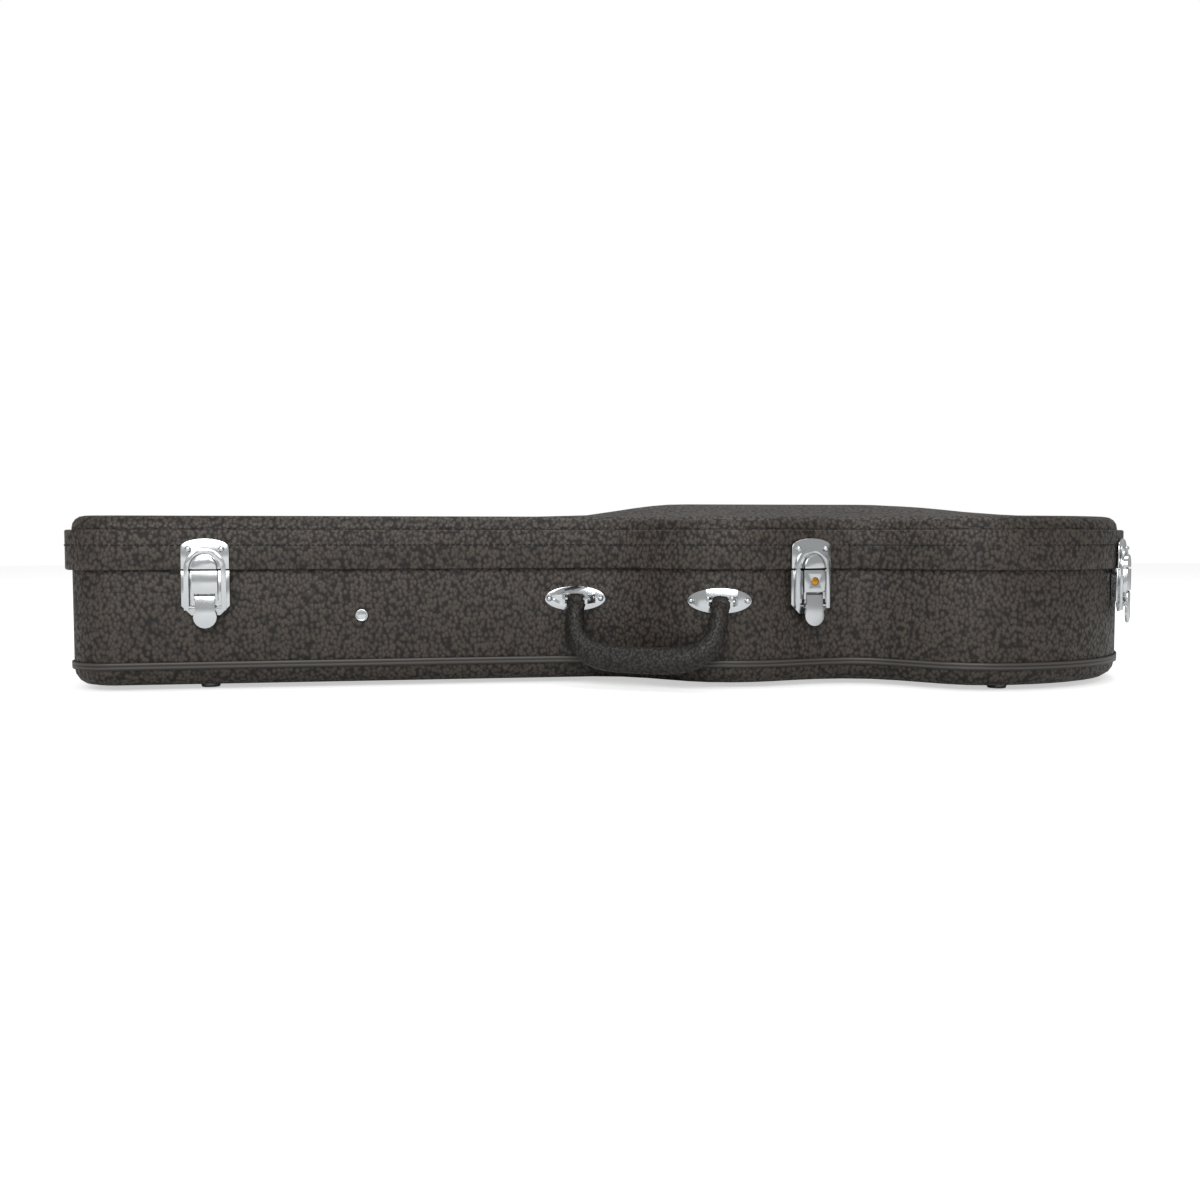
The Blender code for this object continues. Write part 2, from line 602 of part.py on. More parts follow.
def make_hinge(place, station, line):
    """A hinge: base leaf with two knuckles, lid leaf with one, and the pin."""
    x = station - CASE_LENGTH / 2
    wall = wall_frame(station, 1)
    spot = line.inverted() @ Vector((x, half_width(x), 0))
    frame = line @ Matrix.Translation((spot.x, 0, 0))
    local = frame.inverted() @ wall
    wall_turn = wall @ Matrix.Translation((0, 0, 0))
    half = HINGE_LENGTH / 2
    wall_out = -reach_back(wall, half, 0)
    face_out = -reach_back(wall, half, VALANCE_PROUD)
    leaf_low = VALANCE_BOTTOM_Z - 0.002
    base = box(f"{place}_hinge_base_leaf", (-half, wall_out + GAP, leaf_low - BASE_LEAF_DEPTH),
               (half, wall_out + GAP + HINGE_LEAF, leaf_low), "chrome", wall_turn)
    lid = box(f"{place}_hinge_lid_leaf", (-half, face_out + GAP, VALANCE_BOTTOM_Z + 0.0012),
              (half, face_out + GAP + HINGE_LEAF, VALANCE_BOTTOM_Z + 0.0012 + LID_LEAF_DEPTH), "chrome", wall_turn)
    del local
    third = HINGE_LENGTH / 6
    for n, (a, b) in enumerate(((-half + GAP, -third - KNUCKLE_GAP), (third + KNUCKLE_GAP, half - GAP))):
        knuckle = rod(f"{place}_knuckle_{n}", (a, 0, 0), (b, 0, 0), HINGE_KNUCKLE, None, frame)
        combine(base, knuckle, "UNION", "MANIFOLD")
        arm = arm_to(f"{place}_arm_{n}", frame, a, b, WALL_SIDE, -HINGE_LEAF, HINGE_LEAF * 0.4)
        combine(base, arm, "UNION", "MANIFOLD")
    knuckle = rod(f"{place}_knuckle_mid", (-third, 0, 0), (third, 0, 0), HINGE_KNUCKLE, None, frame)
    combine(lid, knuckle, "UNION", "MANIFOLD")
    post = arm_to(f"{place}_arm_mid", frame, -third, third, LID_SIDE, HINGE_KNUCKLE * 0.2, 0.0075)
    combine(lid, post, "UNION", "MANIFOLD")
    bore = rod(f"{place}_hinge_bore", (-half - 0.001, 0, 0), (half + 0.001, 0, 0), HINGE_PIN + GAP, None, frame, sides=14)
    combine(base, bore, "DIFFERENCE", "MANIFOLD")
    combine(lid, bore, "DIFFERENCE", "MANIFOLD")
    rod(f"{place}_hinge_pin", (-half, 0, 0), (half, 0, 0), HINGE_PIN, "chrome", frame, sides=12)


WALL_SIDE = 0.0
LID_SIDE = VALANCE_PROUD


def reach_back(frame, half, offset):
    """How far the offset outline stands out of a back frame, over a half width."""
    local = frame.inverted()
    spots = []
    loop = outline(offset)
    for a, b in zip(loop, loop[1:] + loop[:1]):
        for share in (n / 24 for n in range(24)):
            spot = local @ Vector((a[0] + (b[0] - a[0]) * share, a[1] + (b[1] - a[1]) * share, 0))
            if abs(spot.x) <= half and abs(spot.y) < 0.03:
                spots.append(-spot.y)
    return min(spots)


def arm_to(name, frame, start, end, offset, low, high):
    """A flat arm from the hinge axis to a leaf on the wall or the valance, between two heights."""
    inward = (frame.to_3x3() @ Vector((0, -1, 0))).to_2d()
    ends = []
    for s in (start, end):
        spot = (frame @ Vector((s, 0, 0))).to_2d()
        distance = hit(spot, inward, offset + GAP + HINGE_LEAF * 0.45)
        ends.append((s, -distance))
    points = [(start, HINGE_PIN), (end, HINGE_PIN)] + list(reversed(ends))
    return prism(name, [list(reversed(points))], low, high, None, frame)


def make_handle():
    """Handle brackets on the wall, and the wrapped grip with the axle of each end."""
    spots = {}
    for hand, station in HANDLE_STATIONS.items():
        frame = wall_frame(station)
        spots[hand] = frame @ Vector((0, -HANDLE_STAND, HANDLE_Z))
    run = spots["right"] - spots["left"]
    axis_frame = Matrix.Translation((spots["left"] + spots["right"]) / 2) @ Matrix.Rotation(atan2(run.y, run.x), 4, "Z")
    half_run = run.length / 2
    inward = (axis_frame.to_3x3() @ Vector((0, 1, 0))).to_2d()
    for hand, sign in (("left", -1), ("right", 1)):
        station = HANDLE_STATIONS[hand]
        x = station - CASE_LENGTH / 2
        outer = strip(x - BRACKET_HALF, x + BRACKET_HALF, GAP + BRACKET_PLATE)
        inner = strip(x - BRACKET_HALF, x + BRACKET_HALF, GAP)
        bracket = prism(f"{hand}_handle_bracket", [outer + list(reversed(inner))], HANDLE_Z - BRACKET_TALL / 2,
                        HANDLE_Z + BRACKET_TALL / 2, "chrome")
        bore = rod(f"{hand}_axle_bore", (sign * half_run - 0.02, 0, 0), (sign * half_run + 0.02, 0, 0),
                   AXLE_RADIUS + GAP, None, axis_frame)
        for n, side in enumerate((-1, 1)):
            s = sign * half_run + side * LUG_OFFSET
            points = []
            for edge in (s - LUG_THICK / 2, s + LUG_THICK / 2):
                spot = (axis_frame @ Vector((edge, 0, 0))).to_2d()
                points.append((edge, hit(spot, inward, GAP + BRACKET_PLATE * 0.5)))
            loop = [(s - LUG_THICK / 2, -0.0035), (s + LUG_THICK / 2, -0.0035), points[1], points[0]]
            lug = prism(f"{hand}_lug_{n}", [loop], -LUG_HEIGHT / 2, LUG_HEIGHT / 2, None, axis_frame)
            combine(bracket, lug, "UNION")
        combine(bracket, bore, "DIFFERENCE")
        rod(f"{hand}_handle_axle", (sign * half_run - LUG_OFFSET - 0.0020, 0, 0),
            (sign * half_run + LUG_OFFSET + 0.0020, 0, 0), AXLE_RADIUS, "chrome", axis_frame, sides=12)
        for end, side in (("outer", sign), ("inner", -sign)):
            rivet_x = x + side * (BRACKET_HALF - BRACKET_RIVET_INSET)
            rivet_frame = wall_frame(rivet_x + CASE_LENGTH / 2)
            rise = reach(rivet_frame, BRACKET_RIVET_RADIUS, GAP + BRACKET_PLATE) + GAP
            rod(f"{hand}_bracket_rivet_{end}", (0, -rise, HANDLE_Z), (0, -rise - 0.0016, HANDLE_Z),
                BRACKET_RIVET_RADIUS, "chrome", rivet_frame, end_radius=BRACKET_RIVET_RADIUS * 0.6, sides=14)
    grip_frame = axis_frame @ Matrix.Rotation(-GRIP_LEAN, 4, "X")
    curve = bpy.data.curves.new("handle_grip", "CURVE")
    curve.dimensions = "3D"
    curve.bevel_depth = 1.0
    curve.bevel_resolution = 2
    curve.use_fill_caps = True
    spline = curve.splines.new("POLY")
    stations = 25
    spline.points.add(stations - 1)
    for i, point in enumerate(spline.points):
        share = i / (stations - 1)
        angle = pi * share
        side = -cos(angle)
        wide = half_run * (1 if side > 0 else -1) * abs(side) ** 0.55
        drop = -GRIP_DROP * sin(angle) ** 0.62 - 0.0035
        point.co = (wide, 0, drop, 1)
        swell = sin(angle) ** 1.5
        point.radius = STRAP_RADIUS + (GRIP_RADIUS - STRAP_RADIUS) * swell
    source = bpy.data.objects.new("handle_grip_path", curve)
    CUTTERS.objects.link(source)
    mesh = bpy.data.meshes.new_from_object(source.evaluated_get(bpy.context.evaluated_depsgraph_get()))
    bpy.data.objects.remove(source)
    shape = bmesh.new()
    shape.from_mesh(mesh)
    bmesh.ops.remove_doubles(shape, verts=shape.verts, dist=0.00001)
    shape.to_mesh(mesh)
    shape.free()
    mesh.materials.clear()
    mesh.shade_smooth()
    grip = add("handle_grip", mesh, "leatherette", grip_frame)
    for n, sign in enumerate((-1, 1)):
        end = rod(f"grip_eye_{n}", (sign * half_run - 0.0078, 0, 0), (sign * half_run + 0.0078, 0, 0), 0.0048, None,
                  axis_frame)
        combine(grip, end, "UNION")
    for n, sign in enumerate((-1, 1)):
        bore = rod(f"grip_bore_{n}", (sign * half_run - 0.0095, 0, 0), (sign * half_run + 0.0095, 0, 0),
                   AXLE_RADIUS + GAP, None, axis_frame)
        combine(grip, bore, "DIFFERENCE")
    return axis_frame


def strip(start, end, offset):
    """Points of the front outline between two places along the length, at an offset."""
    loop = outline(offset)[:len(HALF)]
    places = [start, end] + [x for x, _ in loop if start + 0.0005 < x < end - 0.0005]
    result = []
    for place in sorted(places):
        for (x0, y0), (x1, y1) in zip(loop, loop[1:]):
            if x0 <= place <= x1:
                result.append((place, y0 + (y1 - y0) * (place - x0) / (x1 - x0)))
                break
    return result


make_base()
make_lid()
make_compartment()
LATCHES = {place: make_latch(place, station) for place, station in LATCH_STATIONS.items()}
LINE = hinge_line()
for hinge_place, hinge_station in HINGE_STATIONS.items():
    make_hinge(hinge_place, hinge_station, LINE)
HANDLE = make_handle()


def hang(name, frame, prefixes):
    """Parent the pieces of a moving body to an empty on its axis."""
    axis = bpy.data.objects.new(name, None)
    PARTS.objects.link(axis)
    axis.matrix_world = frame
    for thing in PARTS.objects:
        if thing.type == "MESH" and any(prefix in thing.name for prefix in prefixes):
            thing.parent = axis
            thing.matrix_parent_inverse = frame.inverted()
    return axis


def centre_over_origin():
    """Move the whole case so that its box is centred over the origin."""
    graph = bpy.context.evaluated_depsgraph_get()
    graph.update()
    spots = []
    for thing in PARTS.objects:
        if thing.type == "MESH":
            shown = thing.evaluated_get(graph)
            spots += [shown.matrix_world @ vertex.co for vertex in shown.to_mesh().vertices]
            shown.to_mesh_clear()
    middle = [(min(s[i] for s in spots) + max(s[i] for s in spots)) / 2 for i in (0, 1)]
    shift = Vector((-middle[0], -middle[1], -min(s.z for s in spots)))
    for thing in list(PARTS.objects) + list(CUTTERS.objects):
        if thing.parent is None:
            thing.location = thing.location + shift
    return shift


LID_AXIS = hang("lid_axis", LINE, ["lid_side_wall", "lid_top_panel", "lid_valance", "lid_pad", "_catch_", "lid_leaf"])
HANDLE_AXIS = hang("handle_axis", HANDLE, ["handle_grip", "_handle_axle"])
SHIFT = centre_over_origin()
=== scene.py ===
"""Looks of the baritone ukulele case: leatherette shell, plated latches, wrapped handle, plush lining."""

import json
from math import atan, atan2, pi, radians

import bpy
from mathutils import Matrix, Vector


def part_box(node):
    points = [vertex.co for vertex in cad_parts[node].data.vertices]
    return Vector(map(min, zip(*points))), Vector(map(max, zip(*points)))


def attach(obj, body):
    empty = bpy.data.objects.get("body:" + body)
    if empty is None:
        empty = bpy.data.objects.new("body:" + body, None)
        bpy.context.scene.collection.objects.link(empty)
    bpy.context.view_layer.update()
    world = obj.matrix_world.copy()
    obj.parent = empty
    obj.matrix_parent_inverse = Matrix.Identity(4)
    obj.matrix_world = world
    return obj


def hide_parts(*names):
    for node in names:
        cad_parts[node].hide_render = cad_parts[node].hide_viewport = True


bl_info = {
    "name": "Baritone ukulele case",
    "version": (1, 0, 0),
    "blender": (4, 5, 0),
    "location": "View3D > Sidebar > Case",
    "description": "Builds the finish of a hard case for a baritone ukulele",
    "category": "Add Mesh",
}

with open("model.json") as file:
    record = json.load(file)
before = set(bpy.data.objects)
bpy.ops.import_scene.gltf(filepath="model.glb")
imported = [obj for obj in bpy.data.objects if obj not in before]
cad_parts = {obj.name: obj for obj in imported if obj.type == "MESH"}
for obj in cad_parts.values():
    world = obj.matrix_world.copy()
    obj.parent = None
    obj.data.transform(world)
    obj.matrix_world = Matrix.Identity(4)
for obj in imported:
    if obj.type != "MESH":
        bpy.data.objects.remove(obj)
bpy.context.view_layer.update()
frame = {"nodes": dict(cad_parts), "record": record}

MM = 0.001

# Pieces of the case by finish
SHELL = ("base_side_wall", "base_bottom_panel", "lid_side_wall", "lid_top_panel", "lid_valance")
LINING = ("base_floor_pad", "base_side_pad", "lid_pad", "neck_cradle", "accessory_box", "accessory_lid")
PLATES = ("chrome", "brass")

# Rounding of the covered and the lined edges
SHELL_ROUND = 0.5 * MM
VALANCE_ROUND = 1.3 * MM
BINDING_ROUND = 0.45 * MM
PAD_ROUND = 2.0 * MM
BOX_ROUND = 0.8 * MM

# A copied mesh is joined up, and its flat faces merged, before its edges are rounded
WELD = 0.02 * MM
FLAT_ANGLE = radians(1)
SHARP_ANGLE = radians(40)

# Stitches along the valance: the line's height, and each stitch's own shape
STITCH_Z = 109 * MM
STITCH_PROUD = 0.3 * MM
STITCH_DEEP = 0.5 * MM
STITCH_TALL = 0.6 * MM
SHORTEST_RUN = 1e-6

# Ends of the line inside the valance from which its outer faces point away, and what counts as upright
SPINE_HEAD = -0.36
SPINE_TAIL = 0.27
UPRIGHT = 0.3
EDGE_BAND = 0.3 * MM

# Heads of the fasteners, as shares of the head's own radius where they aren't lengths
STUD = "compartment_rivet"
STUD_RIM = 0.82
STUD_RIM_THICK = 0.14
STUD_RIM_IN = 0.1 * MM
CROWN = 0.72
CROWN_IN = 0.45 * MM
CROWN_FLAT = 0.5
OVAL_DEPTH = 0.2

# Patterns of the materials
WRAP_GRAIN = 0.85
GRAIN_FLATTEN = 0.8
DRIFT_PER_CELL = 0.35
GRAIN_DEEP = 0.45 * MM
RIB_PITCH = 6.3 * 1.4 * MM
RIB_DEEP = 0.3 * MM
NAP_SIZE = 1.2 * MM
NAP_DEEP = 0.6 * MM
PLY_PITCH = 4 * MM
MARK_DEEP = 0.1 * MM
NICKEL_MARKS = 90
BRASS_MARKS = 120

# The photograph's camera, as fitted to the case's seam lines
PHOTO_SIZE = 1200
PHOTO_FOCAL = 1197
PHOTO_HORIZON = 537
SENSOR = 36
CASE_TURN = radians(5.4)
EYE = (-0.1052, -1.0012, 0.115)
NEAREST = 0.05

# Studio
FLOOR_SIZE = 8
FLOOR_GLOW = 0.55
SKY_LIGHT = 0.42
WHITE = (1, 1, 1, 1)


def linear(code):
    """Linear colour of an sRGB hex code."""
    channels = [int(code[i:i + 2], 16) / 255 for i in (0, 2, 4)]
    return (*[c / 12.92 if c <= 0.04045 else ((c + 0.055) / 1.055) ** 2.4 for c in channels], 1.0)


def colour(name, description, code):
    """A colour that a user may change, with an sRGB hex code as its default."""
    return bpy.props.FloatVectorProperty(
        name=name, description=description, default=linear(code), subtype="COLOR", size=4, min=0, max=1)


def length(name, description, default):
    """A length that a user may change."""
    return bpy.props.FloatProperty(name=name, description=description, default=default, unit="LENGTH")


class CaseSettings(bpy.types.PropertyGroup):
    """Sizes and colours that a user would change."""

    grain_cell: length("Grain cell", "Size of one pebble of the leatherette", 2.7 * MM)
    stitch_length: length("Stitch length", "Length of one stitch on the valance", 3.0 * MM)
    stitch_pitch: length("Stitch pitch", "Distance from one stitch to the next", 4.2 * MM)
    edge_round: length("Edge round", "Rounding of plated edges", 0.35 * MM)
    leather: colour("Leatherette", "Tops of the pebbles on the shell", "453d36")
    # Painted shade: the dark colour put into the creases between the shell's pebbles
    leather_crease_shade: colour("Leatherette crease shade", "Between the pebbles on the shell", "15120f")
    wrap: colour("Handle", "Tops of the pebbles on the handle", "2f2a26")
    # Painted shade: the dark colour put into the creases between the handle's pebbles
    wrap_crease_shade: colour("Handle crease shade", "Between the pebbles on the handle", "0b0a08")
    binding: colour("Binding", "Crests of the ribbed binding", "4a4540")
    nickel: colour("Nickel", "Plated latches, hinges and fasteners", "d3d6d8")
    brass: colour("Brass", "Lock cylinder", "d69a3a")
    lining: colour("Lining", "Tips of the plush", "3a383f")


def node(tree, kind, settings=None, links=None):
    """Add one shader node with its settings and its input links."""
    made = tree.nodes.new(kind)
    for key, value in (settings or {}).items():
        if hasattr(made, key):
            setattr(made, key, value)
        else:
            made.inputs[key].default_value = value
    for key, source in (links or {}).items():
        tree.links.new(source, made.inputs[key])
    return made


def material(name, tint, roughness, metallic=0.0):
    """A new Principled material, its tree and its shader."""
    made = bpy.data.materials.new(name)
    made.use_nodes = True
    shader = made.node_tree.nodes["Principled BSDF"]
    shader.inputs["Base Color"].default_value = tint
    shader.inputs["Roughness"].default_value = roughness
    shader.inputs["Metallic"].default_value = metallic
    return made, made.node_tree, shader


def two_tone(tree, shader, factor, low, high):
    """Colour a shader from one (position, colour) to another along a factor."""
    ramp = node(tree, "ShaderNodeValToRGB", {}, {"Fac": factor})
    for stop, (position, tint) in zip(ramp.color_ramp.elements, (low, high)):
        stop.color = tint
        stop.position = position
    tree.links.new(ramp.outputs["Color"], shader.inputs["Base Color"])


def relief(tree, shader, height, strength, depth):
    """Raise a pattern on a shader's surface."""
    bump = node(tree, "ShaderNodeBump", {"Strength": strength, "Distance": depth}, {"Height": height})
    tree.links.new(bump.outputs["Normal"], shader.inputs["Normal"])


def leatherette(name, dark, light, cell, stretch):
    """Embossed vinyl leatherette: rounded pebbles whose colour darkens into the creases as painted shade, and
    a soft semi-gloss top.
    """
    made, tree, shader = material(name, light, 0.5)
    shader.inputs["Specular IOR Level"].default_value = 0.4
    place = node(tree, "ShaderNodeTexCoord").outputs["Object"]
    scaled = node(tree, "ShaderNodeMapping", {"Scale": stretch}, {"Vector": place}).outputs["Vector"]
    drift = node(tree, "ShaderNodeTexNoise", {"Scale": DRIFT_PER_CELL / cell, "Detail": 2.0},
                 {"Vector": scaled})
    pebble = node(tree, "ShaderNodeTexVoronoi",
                  {"feature": "SMOOTH_F1", "Smoothness": 0.25, "Scale": 1 / cell}, {"Vector": scaled})
    # High on each pebble's top and falling to nothing in the creases; it sets the painted crease shade, the
    # gloss and the relief
    crease = node(tree, "ShaderNodeMapRange", {"From Min": 0.78, "From Max": 0.3},
                  {"Value": pebble.outputs["Distance"]}).outputs["Result"]
    worn = node(tree, "ShaderNodeMapRange", {"From Min": 0.3, "From Max": 0.7, "To Min": 0.72, "To Max": 1.0},
                {"Value": drift.outputs["Fac"]}).outputs["Result"]
    crease_shade_and_mottle = node(tree, "ShaderNodeMath", {"operation": "MULTIPLY"}, {0: crease, 1: worn}).outputs["Value"]
    # Painted shade: the colour darkens from each pebble's top down into the creases, and the noise drift adds
    # random tone
    two_tone(tree, shader, crease_shade_and_mottle, (0.08, dark), (0.9, light))
    gloss = node(tree, "ShaderNodeMapRange", {"To Min": 0.62, "To Max": 0.42}, {"Value": crease})
    tree.links.new(gloss.outputs["Result"], shader.inputs["Roughness"])
    relief(tree, shader, crease_shade_and_mottle, 0.9, GRAIN_DEEP)
    return made


def plated(name, tint, roughness, marks):
    """Nickel or brass plate: a mirror metal whose gloss varies with faint marks, so many to a metre."""
    made, tree, shader = material(name, tint, roughness, 1.0)
    place = node(tree, "ShaderNodeTexCoord").outputs["Object"]
    smear = node(tree, "ShaderNodeTexNoise", {"Scale": marks, "Detail": 4.0},
                 {"Vector": place}).outputs["Fac"]
    gloss = node(tree, "ShaderNodeMapRange", {"To Min": roughness * 0.7, "To Max": roughness * 1.8},
                 {"Value": smear})
    tree.links.new(gloss.outputs["Result"], shader.inputs["Roughness"])
    relief(tree, shader, smear, 0.08, MARK_DEEP)
    return made


def ribbed(name, tint):
    """Extruded vinyl binding: fine ribs along the strip, their troughs darkened as painted shade and their
    crests in the binding's tint.
    """
    made, tree, shader = material(name, tint, 0.42)
    place = node(tree, "ShaderNodeTexCoord").outputs["Object"]
    ribs = node(tree, "ShaderNodeTexWave", {"bands_direction": "Z", "Scale": 1 / RIB_PITCH},
                {"Vector": place}).outputs["Fac"]
    relief(tree, shader, ribs, 0.6, RIB_DEEP)
    # Painted shade: the troughs between the ribs are coloured near black, the crests take the binding's tint
    two_tone(tree, shader, ribs, (0, linear("1c1916")), (1, tint))
    return made


def plush(name, dark, light):
    """Short pile over foam: a soft mottled nap with a pale sheen at grazing angles."""
    made, tree, shader = material(name, light, 0.95)
    shader.inputs["Sheen Weight"].default_value = 0.35
    place = node(tree, "ShaderNodeTexCoord").outputs["Object"]
    nap = node(tree, "ShaderNodeTexNoise", {"Scale": 1 / NAP_SIZE, "Detail": 3.0},
               {"Vector": place}).outputs["Fac"]
    two_tone(tree, shader, nap, (0.35, dark), (0.65, light))
    relief(tree, shader, nap, 0.7, NAP_DEEP)
    return made


def thread(name, tint):
    """Twisted polyester thread: slanted ply lines, drawn coarser than real ones so that they show."""
    made, tree, shader = material(name, tint, 0.6)
    place = node(tree, "ShaderNodeTexCoord").outputs["Object"]
    ply = node(tree, "ShaderNodeTexWave", {"bands_direction": "DIAGONAL", "Scale": 1 / PLY_PITCH},
               {"Vector": place}).outputs["Fac"]
    relief(tree, shader, ply, 0.4, MARK_DEEP)
    return made


FINISHES = {}


def make_finishes(settings):
    """All the finishes of the case."""
    cell = settings.grain_cell
    FINISHES["leatherette"] = leatherette(
        "embossed_leatherette", settings.leather_crease_shade, settings.leather, cell, (1, 1, GRAIN_FLATTEN))
    FINISHES["wrap"] = leatherette(
        "handle_leatherette", settings.wrap_crease_shade, settings.wrap, cell * WRAP_GRAIN, (1, 1, 1))
    FINISHES["binding"] = ribbed("ribbed_vinyl_binding", settings.binding)
    FINISHES["chrome"] = plated("nickel_plated_steel", settings.nickel, 0.14, NICKEL_MARKS)
    FINISHES["brass"] = plated("polished_brass", settings.brass, 0.2, BRASS_MARKS)
    FINISHES["plush"] = plush("short_pile_plush", linear("161519"), settings.lining)
    FINISHES["thread"] = thread("polyester_thread", linear("0a0908"))


def deselect():
    """Nothing selected, in object mode."""
    for thing in bpy.context.selected_objects:
        thing.select_set(False)


def pick(piece):
    """Only this piece selected, and active."""
    deselect()
    piece.select_set(True)
    bpy.context.view_layer.objects.active = piece


def body_of_node(name):
    """The body that a CAD node rides on."""
    bodies = frame["record"]["behaviour"]["bodies"]
    return next(body for body, nodes in bodies.items() if name in nodes)


def finish_piece(piece, finish, body, angle):
    """Shade, dress and seat a finished piece."""
    pick(piece)
    bpy.ops.object.transform_apply(location=True, rotation=True, scale=True)
    bpy.ops.object.shade_smooth_by_angle(angle=radians(angle))
    piece.data.materials.clear()
    piece.data.materials.append(FINISHES[finish])
    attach(piece, body)


def copy_node(name, new_name):
    """A merged copy of a CAD node, selected and active."""
    source = frame["nodes"][name]
    piece = bpy.data.objects.new(new_name, source.data.copy())
    bpy.context.scene.collection.objects.link(piece)
    piece.matrix_world = Matrix()
    pick(piece)
    bpy.ops.object.mode_set(mode="EDIT")
    bpy.ops.mesh.select_all(action="SELECT")
    bpy.ops.mesh.remove_doubles(threshold=WELD)
    bpy.ops.mesh.dissolve_limited(angle_limit=FLAT_ANGLE)
    bpy.ops.object.mode_set(mode="OBJECT")
    return piece


def round_edges(piece, rounding, segments):
    """Round the sharp edges of the active piece."""
    edge = piece.modifiers.new("edge", "BEVEL")
    edge.width = rounding
    edge.segments = segments
    edge.limit_method = "ANGLE"
    edge.angle_limit = SHARP_ANGLE
    bpy.ops.object.modifier_apply(modifier="edge")


def round_plate(piece):
    """Cut a square bracket plate to an oval."""
    spots = [v.co.copy() for v in piece.data.vertices]
    low = Vector(min(c[i] for c in spots) for i in range(3))
    high = Vector(max(c[i] for c in spots) for i in range(3))
    deselect()
    bpy.ops.mesh.primitive_cylinder_add(
        vertices=64, radius=1, depth=OVAL_DEPTH, location=(low + high) / 2, rotation=(pi / 2, 0, 0))
    oval = bpy.context.active_object
    oval.scale = ((high.x - low.x) / 2, (high.z - low.z) / 2, 1)
    bpy.ops.object.transform_apply(location=True, rotation=True, scale=True)
    pick(piece)
    cut = piece.modifiers.new("oval", "BOOLEAN")
    cut.operation = "INTERSECT"
    cut.solver = "EXACT"
    cut.object = oval
    bpy.ops.object.modifier_apply(modifier="oval")
    bpy.data.objects.remove(oval)


class CASE_OT_shell(bpy.types.Operator):
    """Cover the shell in leatherette, with softened edges, and run the binding round it"""

    bl_idname = "case.shell"
    bl_label = "Shell"

    def execute(self, context):
        for name in SHELL:
            piece = copy_node(name, name + "_covering")
            round_edges(piece, VALANCE_ROUND if name == "lid_valance" else SHELL_ROUND, 3)
            finish_piece(piece, "leatherette", body_of_node(name), 38)
            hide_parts(name)
        strip = copy_node("base_binding", "binding_strip")
        round_edges(strip, BINDING_ROUND, 2)
        finish_piece(strip, "binding", "base", 35)
        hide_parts("base_binding")
        return {"FINISHED"}


def valance_loop():
    """The outer loop of the valance's lower edge, in order round the case."""
    mesh = frame["nodes"]["lid_valance"].data
    low = min(v.co.z for v in mesh.vertices)
    outer = set()
    for face in mesh.polygons:
        spine = Vector((min(max(face.center.x, SPINE_HEAD), SPINE_TAIL), 0, face.center.z))
        if abs(face.normal.z) > UPRIGHT or face.normal.dot(face.center - spine) <= 0:
            continue
        corners = [mesh.vertices[i].co for i in face.vertices]
        outer |= {(round(c.x, 5), round(c.y, 5)) for c in corners if c.z < low + EDGE_BAND}
    return sorted(outer, key=lambda spot: atan2(spot[1], spot[0]))


class CASE_OT_stitching(bpy.types.Operator):
    """Sew a line of stitches along the valance"""

    bl_idname = "case.stitching"
    bl_label = "Valance stitching"

    def execute(self, context):
        settings = context.scene.case_settings
        loop = valance_loop()
        deselect()
        bpy.ops.mesh.primitive_ico_sphere_add(subdivisions=1, radius=1)
        seed = context.active_object
        verts = []
        faces = []
        # How far the next stitch lies past the start of the run
        ahead = 0.0
        for a, b in zip(loop, loop[1:] + loop[:1]):
            start = Vector((a[0], a[1], STITCH_Z))
            run = Vector((b[0], b[1], STITCH_Z)) - start
            if run.length < SHORTEST_RUN:
                continue
            along = run / run.length
            outward = Vector((along.y, -along.x, 0))
            while ahead < run.length:
                centre = start + along * ahead + outward * STITCH_PROUD
                first = len(verts)
                for v in seed.data.vertices:
                    verts.append(centre + along * v.co.x * settings.stitch_length / 2
                                 + outward * v.co.y * STITCH_DEEP + Vector((0, 0, v.co.z * STITCH_TALL)))
                faces += [[first + i for i in p.vertices] for p in seed.data.polygons]
                ahead += settings.stitch_pitch
            ahead -= run.length
        bpy.data.objects.remove(seed)
        mesh = bpy.data.meshes.new("valance_stitches")
        mesh.from_pydata(verts, [], faces)
        piece = bpy.data.objects.new("valance_stitches", mesh)
        context.scene.collection.objects.link(piece)
        finish_piece(piece, "thread", "lid", 60)
        return {"FINISHED"}


class CASE_OT_metalwork(bpy.types.Operator):
    """Plate the latches, hinges, brackets, feet and fasteners"""

    bl_idname = "case.metalwork"
    bl_label = "Metalwork"

    def execute(self, context):
        settings = context.scene.case_settings
        slots = {row["node"]: row["material_slot"] for row in frame["record"]["subparts"]}
        for name, slot in slots.items():
            if slot not in PLATES:
                continue
            piece = copy_node(name, name + "_plated")
            if name.endswith("bracket"):
                round_plate(piece)
            if not name.endswith(("_pin", "_axle")):
                round_edges(piece, settings.edge_round, 2)
            finish_piece(piece, slot, body_of_node(name), 40)
            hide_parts(name)
        return {"FINISHED"}


class CASE_OT_fasteners(bpy.types.Operator):
    """Crown each rivet, and add the rim of the compartment stud"""

    bl_idname = "case.fasteners"
    bl_label = "Fastener heads"

    def execute(self, context):
        for name in [n for n in frame["nodes"] if "rivet" in n]:
            low, high = (Vector(corner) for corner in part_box(name))
            middle = (low + high) / 2
            radius = (high.z - low.z) / 2
            deselect()
            if name == STUD:
                bpy.ops.mesh.primitive_torus_add(
                    major_segments=40, minor_segments=10, major_radius=radius * STUD_RIM,
                    minor_radius=radius * STUD_RIM_THICK, location=(middle.x, low.y + STUD_RIM_IN, middle.z),
                    rotation=(pi / 2, 0, 0))
            else:
                bpy.ops.mesh.primitive_uv_sphere_add(
                    segments=20, ring_count=10, radius=radius * CROWN,
                    location=(middle.x, low.y + CROWN_IN, middle.z))
                context.active_object.scale.y = CROWN_FLAT
            piece = context.active_object
            piece.name = name + "_crown"
            finish_piece(piece, "chrome", body_of_node(name), 50)
        return {"FINISHED"}


